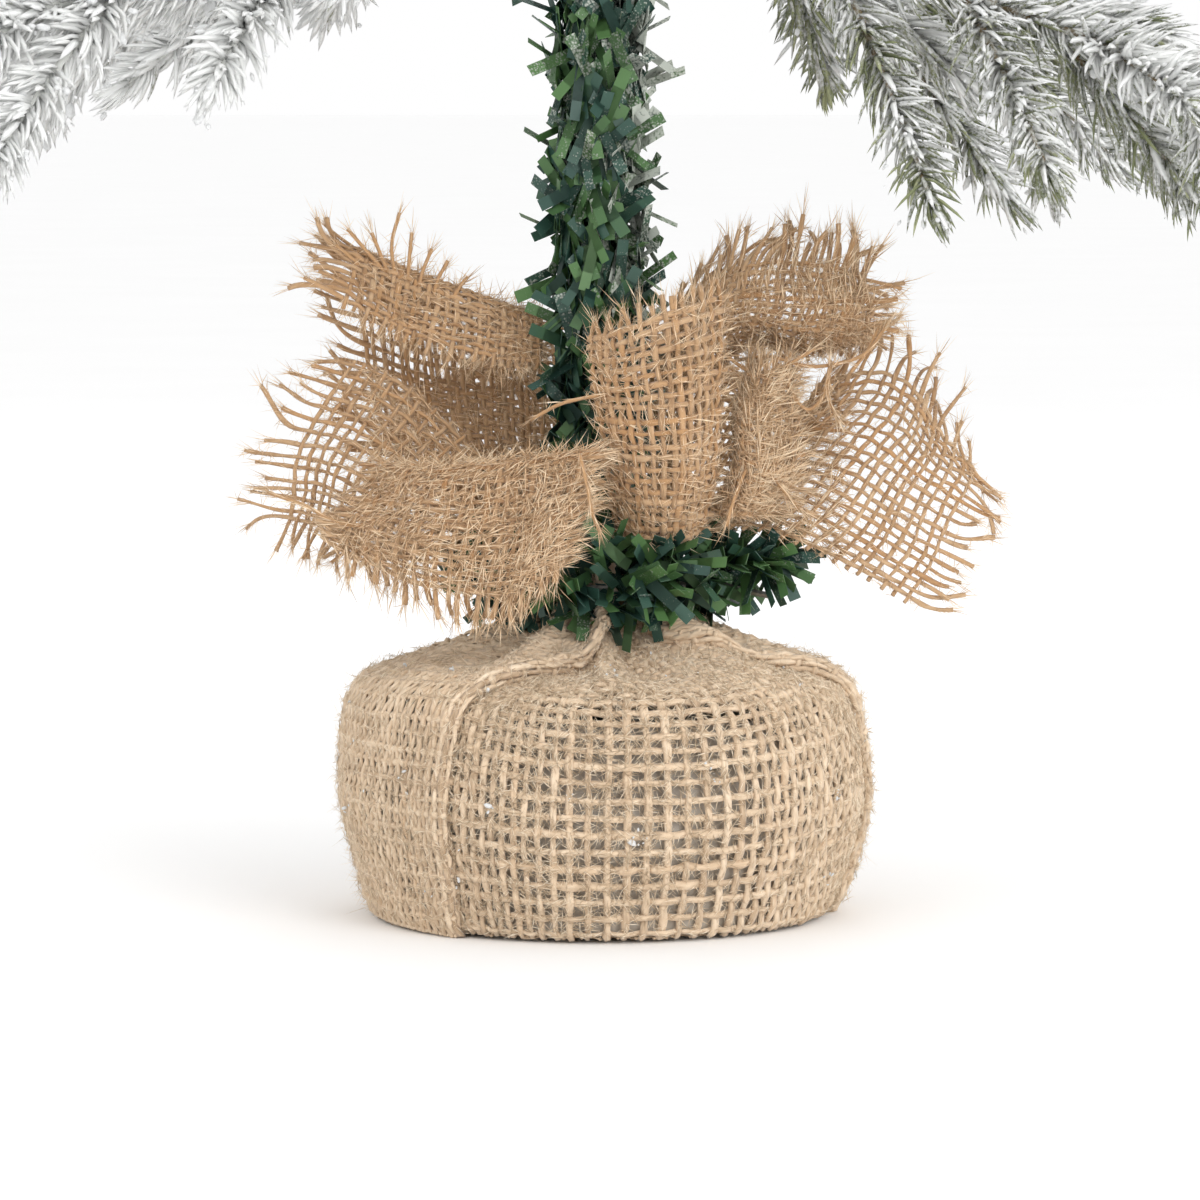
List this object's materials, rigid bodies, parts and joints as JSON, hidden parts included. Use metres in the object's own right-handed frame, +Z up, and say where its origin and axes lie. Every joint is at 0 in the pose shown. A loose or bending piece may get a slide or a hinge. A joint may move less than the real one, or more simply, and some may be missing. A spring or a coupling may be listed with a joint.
{
  "type": "artificial tabletop tree",
  "caption": "Flocked tabletop tree: bendable wired branches in tiers on a tinsel-wrapped pole, in a weighted pot under gathered burlap.",
  "frame": {"origin": "centre of the underside, where the burlap rests on the table, on the trunk's axis", "axes": "+Z up the trunk; the front is towards -Y; +X is to the right seen from the front"},
  "size_m": [0.3467, 0.3153, 0.608],
  "materials": {
    "burlap": "matte",
    "grey_plastic": "satin",
    "cement": "matte",
    "steel": "satin",
    "tape": "matte",
    "tinsel": "satin",
    "needles": "matte"
  },
  "bodies": {
    "base_and_trunk": {"base_pot": "grey_plastic", "cement_weight": "cement", "burlap_wrap": "burlap", "trunk_pole": "steel", "tie_tinsel": "tinsel", "tie_wire": "steel", "trunk_tinsel": "tinsel", "tier_binding_1": "tape", "tinsel_sleeve_1": "tinsel", "tier_binding_2": "tape", "tinsel_sleeve_2": "tinsel", "tier_binding_3": "tape", "tinsel_sleeve_3": "tinsel", "tier_binding_4": "tape", "tinsel_sleeve_4": "tinsel", "frill_right": "burlap", "frill_top_right": "burlap", "frill_centre": "burlap", "frill_fold": "burlap", "frill_front_left": "burlap", "frill_left": "burlap", "frill_top_left": "burlap", "frill_back": "burlap"},
    "branch_1a": {"stem_1a": "tape", "sprigs_1a": "needles"},
    "branch_1b": {"stem_1b": "tape", "sprigs_1b": "needles"},
    "branch_1c": {"stem_1c": "tape", "sprigs_1c": "needles"},
    "branch_1d": {"stem_1d": "tape", "sprigs_1d": "needles"},
    "branch_2a": {"stem_2a": "tape", "sprigs_2a": "needles"},
    "branch_2b": {"stem_2b": "tape", "sprigs_2b": "needles"},
    "branch_2c": {"stem_2c": "tape", "sprigs_2c": "needles"},
    "branch_2d": {"stem_2d": "tape", "sprigs_2d": "needles"},
    "branch_2e": {"stem_2e": "tape", "sprigs_2e": "needles"},
    "branch_3a": {"stem_3a": "tape", "sprigs_3a": "needles"},
    "branch_3b": {"stem_3b": "tape", "sprigs_3b": "needles"},
    "branch_3c": {"stem_3c": "tape", "sprigs_3c": "needles"},
    "branch_3d": {"stem_3d": "tape", "sprigs_3d": "needles"},
    "branch_4a": {"stem_4a": "tape", "sprigs_4a": "needles"},
    "branch_4b": {"stem_4b": "tape", "sprigs_4b": "needles"},
    "branch_4c": {"stem_4c": "tape", "sprigs_4c": "needles"},
    "leader": {"leader_stem": "tape", "leader_sprigs": "needles"}
  },
  "joints": [
    {"name": "branch_1a_bend", "type": "hinge", "parent": "base_and_trunk", "child": "branch_1a", "pos_m": [0.00952, -0.00549, 0.254], "axis": [-0.5, -0.866, 0], "range_deg": [-12, 38]},
    {"name": "branch_1b_bend", "type": "hinge", "parent": "base_and_trunk", "child": "branch_1b", "pos_m": [0.00942, 0.00566, 0.254], "axis": [0.515, -0.8572, 0], "range_deg": [-12, 38]},
    {"name": "branch_1c_bend", "type": "hinge", "parent": "base_and_trunk", "child": "branch_1c", "pos_m": [-0.00942, 0.00566, 0.254], "axis": [0.515, 0.8572, 0], "range_deg": [-12, 20]},
    {"name": "branch_1d_bend", "type": "hinge", "parent": "base_and_trunk", "child": "branch_1d", "pos_m": [-0.00952, -0.00549, 0.254], "axis": [-0.5, 0.866, 0], "range_deg": [-12, 20]},
    {"name": "branch_2a_bend", "type": "hinge", "parent": "base_and_trunk", "child": "branch_2a", "pos_m": [0.01099, 0, 0.3219], "axis": [0, -1, 0], "range_deg": [-20, 32]},
    {"name": "branch_2b_bend", "type": "hinge", "parent": "base_and_trunk", "child": "branch_2b", "pos_m": [0.00516, 0.0097, 0.3219], "axis": [0.8829, -0.4695, 0], "range_deg": [-20, 32]},
    {"name": "branch_2c_bend", "type": "hinge", "parent": "base_and_trunk", "child": "branch_2c", "pos_m": [-0.00516, 0.0097, 0.3219], "axis": [0.8829, 0.4695, 0], "range_deg": [-20, 32]},
    {"name": "branch_2d_bend", "type": "hinge", "parent": "base_and_trunk", "child": "branch_2d", "pos_m": [-0.01099, 0, 0.3219], "axis": [0, 1, 0], "range_deg": [-20, 32]},
    {"name": "branch_2e_bend", "type": "hinge", "parent": "base_and_trunk", "child": "branch_2e", "pos_m": [0, -0.01099, 0.3219], "axis": [-1, 0, 0], "range_deg": [-20, 32]},
    {"name": "branch_3a_bend", "type": "hinge", "parent": "base_and_trunk", "child": "branch_3a", "pos_m": [0.00777, 0.00777, 0.38807], "axis": [0.7071, -0.7071, 0], "range_deg": [-30, 42]},
    {"name": "branch_3b_bend", "type": "hinge", "parent": "base_and_trunk", "child": "branch_3b", "pos_m": [-0.00777, 0.00777, 0.38807], "axis": [0.7071, 0.7071, 0], "range_deg": [-30, 42]},
    {"name": "branch_3c_bend", "type": "hinge", "parent": "base_and_trunk", "child": "branch_3c", "pos_m": [-0.00777, -0.00777, 0.38807], "axis": [-0.7071, 0.7071, 0], "range_deg": [-30, 42]},
    {"name": "branch_3d_bend", "type": "hinge", "parent": "base_and_trunk", "child": "branch_3d", "pos_m": [0.00777, -0.00777, 0.38807], "axis": [-0.7071, -0.7071, 0], "range_deg": [-30, 42]},
    {"name": "branch_4a_bend", "type": "hinge", "parent": "base_and_trunk", "child": "branch_4a", "pos_m": [0.01033, 0.00376, 0.44809], "axis": [0.342, -0.9397, 0], "range_deg": [-45, 45]},
    {"name": "branch_4b_bend", "type": "hinge", "parent": "base_and_trunk", "child": "branch_4b", "pos_m": [-0.00842, 0.00706, 0.44809], "axis": [0.6428, 0.766, 0], "range_deg": [-45, 45]},
    {"name": "branch_4c_bend", "type": "hinge", "parent": "base_and_trunk", "child": "branch_4c", "pos_m": [-0.00191, -0.01082, 0.44809], "axis": [-0.9848, 0.1736, 0], "range_deg": [-45, 45]},
    {"name": "leader_bend", "type": "hinge", "parent": "base_and_trunk", "child": "leader", "pos_m": [0, 0, 0.50199], "axis": [0, -1, 0], "range_deg": [-35, 35]}
  ]
}
